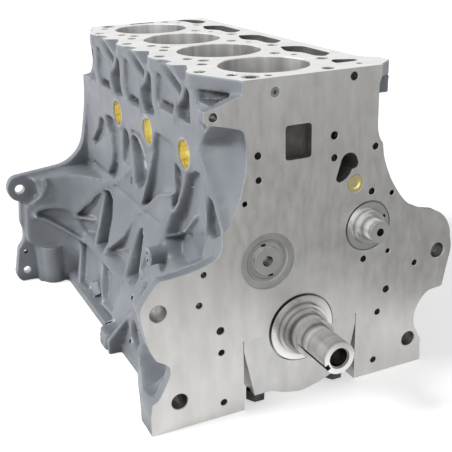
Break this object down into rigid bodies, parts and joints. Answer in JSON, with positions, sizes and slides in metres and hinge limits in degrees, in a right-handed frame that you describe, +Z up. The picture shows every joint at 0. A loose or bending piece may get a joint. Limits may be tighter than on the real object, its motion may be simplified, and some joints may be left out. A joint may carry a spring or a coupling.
{
  "type": "engine block",
  "caption": "In-line cylinder block with open bores, bearing caps, crankshaft, camshaft and auxiliary shaft turning in it.",
  "frame": {"origin": "on the crankshaft axis, in the plane of the machined front face", "axes": "+X to the right seen from the front, +Y to the rear along the crankshaft, +Z up towards the deck"},
  "size_m": [0.4142, 0.5372, 0.342],
  "materials": {
    "painted_casting": "blue-grey paint on cast iron, with bare machined faces",
    "cap_iron": "bare machined iron",
    "bolt_steel": "dark heat-treated steel",
    "bearing_metal": "grey bearing metal on steel",
    "crank_steel": "ground and polished steel",
    "shaft_steel": "turned steel",
    "bronze": "dull bronze",
    "brass": "pressed yellow brass",
    "plug_steel": "plain steel"
  },
  "bodies": {
    "block": {"auxiliary_bush_front": "bronze", "auxiliary_bush_rear": "bronze", "camshaft_bush_1": "bronze", "camshaft_bush_2": "bronze", "camshaft_bush_3": "bronze", "camshaft_bush_4": "bronze", "camshaft_bush_5": "bronze", "camshaft_rear_plug": "plug_steel", "core_plug_left_1": "brass", "core_plug_left_2": "brass", "core_plug_left_3": "brass", "core_plug_rear": "brass", "cylinder_block": "painted_casting", "deck_dowel_front": "plug_steel", "deck_dowel_rear": "plug_steel", "front_brass_plug": "brass", "front_screw_plug": "plug_steel", "main_bearing_lower_1": "bearing_metal", "main_bearing_lower_2": "bearing_metal", "main_bearing_lower_3": "bearing_metal", "main_bearing_lower_4": "bearing_metal", "main_bearing_lower_5": "bearing_metal", "main_bearing_upper_1": "bearing_metal", "main_bearing_upper_2": "bearing_metal", "main_bearing_upper_3": "bearing_metal", "main_bearing_upper_4": "bearing_metal", "main_bearing_upper_5": "bearing_metal", "main_cap_1": "cap_iron", "main_cap_2": "cap_iron", "main_cap_3": "cap_iron", "main_cap_4": "cap_iron", "main_cap_5": "cap_iron", "main_cap_bolts": "bolt_steel", "oil_gallery_plug": "plug_steel", "thrust_washers": "bearing_metal"},
    "crank": {"crankshaft": "crank_steel", "pilot_bush": "bronze"},
    "cam": {"camshaft": "shaft_steel"},
    "auxiliary": {"auxiliary_shaft": "shaft_steel"}
  },
  "joints": [
    {"name": "crank_turn", "type": "hinge", "parent": "block", "child": "crank", "pos_m": [0, 0, 0], "axis": [0, 1, 0], "continuous": true},
    {"name": "cam_turn", "type": "hinge", "parent": "block", "child": "cam", "pos_m": [0.0791, 0, 0.097], "axis": [0, 1, 0], "continuous": true},
    {"name": "auxiliary_turn", "type": "hinge", "parent": "block", "child": "auxiliary", "pos_m": [-0.0381, 0, 0.0815], "axis": [0, 1, 0], "continuous": true}
  ]
}
